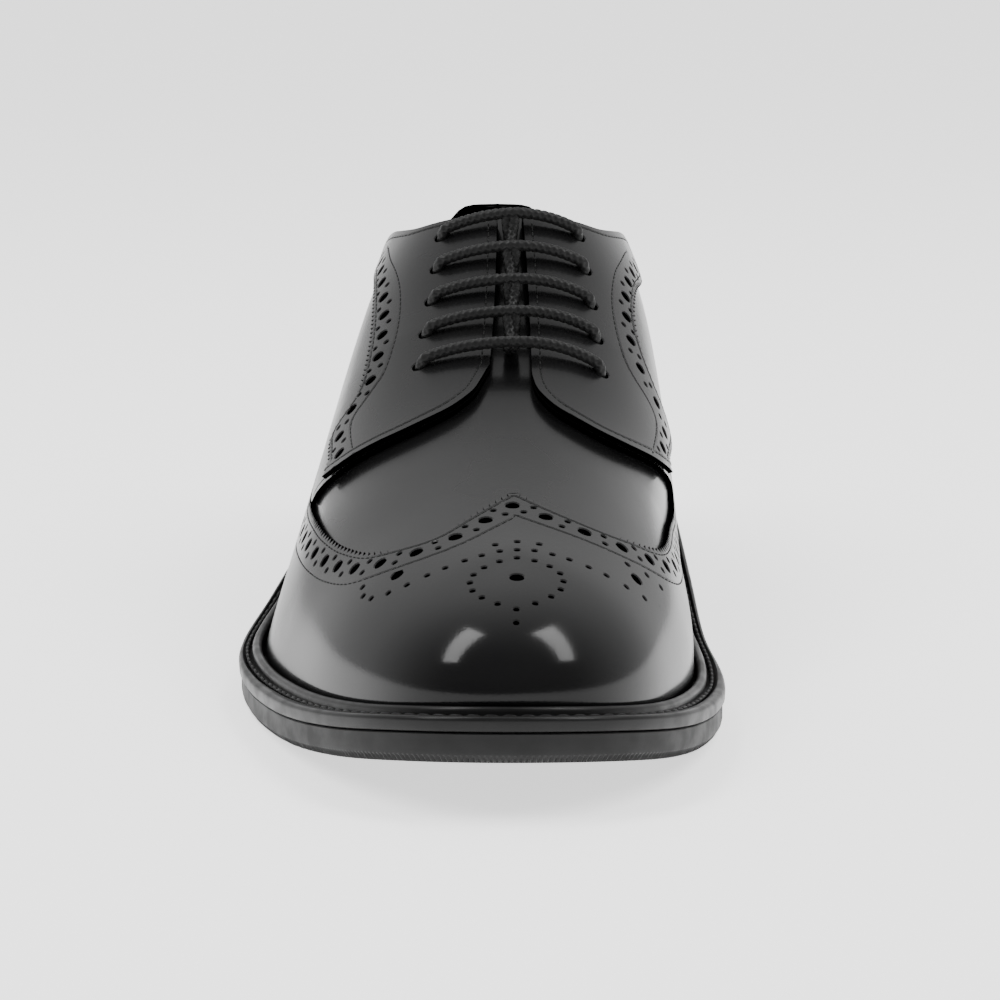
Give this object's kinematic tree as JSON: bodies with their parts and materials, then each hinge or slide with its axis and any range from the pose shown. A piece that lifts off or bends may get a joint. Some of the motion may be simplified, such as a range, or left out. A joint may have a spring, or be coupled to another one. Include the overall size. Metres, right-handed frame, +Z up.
{
  "type": "brogue shoe",
  "caption": "Black leather wingtip derby brogue for the right foot, with open lacing, raised welt, heel and hollow lasted upper.",
  "frame": {"origin": "middle of the footprint of the whole shoe, on the plane that it stands on", "axes": "+Z up, the toe towards -Y and the heel towards +Y, the outer (lateral) side towards -X"},
  "size_m": [0.1112, 0.3044, 0.1047],
  "materials": {
    "upper_leather": "polished black calf",
    "insole_leather": "plain tan leather",
    "welt_leather": "blackened and waxed",
    "sole_rubber": "matt black",
    "lace_cotton": "waxed black cotton"
  },
  "bodies": {
    "root": {"outsole": "sole_rubber", "heel_block": "sole_rubber", "heel_top_piece": "sole_rubber", "welt": "welt_leather", "insole": "insole_leather", "upper": "upper_leather", "wing": "upper_leather", "quarter_lateral": "upper_leather", "quarter_medial": "upper_leather", "facing_lateral": "upper_leather", "facing_medial": "upper_leather", "backstay": "upper_leather", "tongue": "upper_leather", "lace": "lace_cotton"}
  },
  "joints": []
}
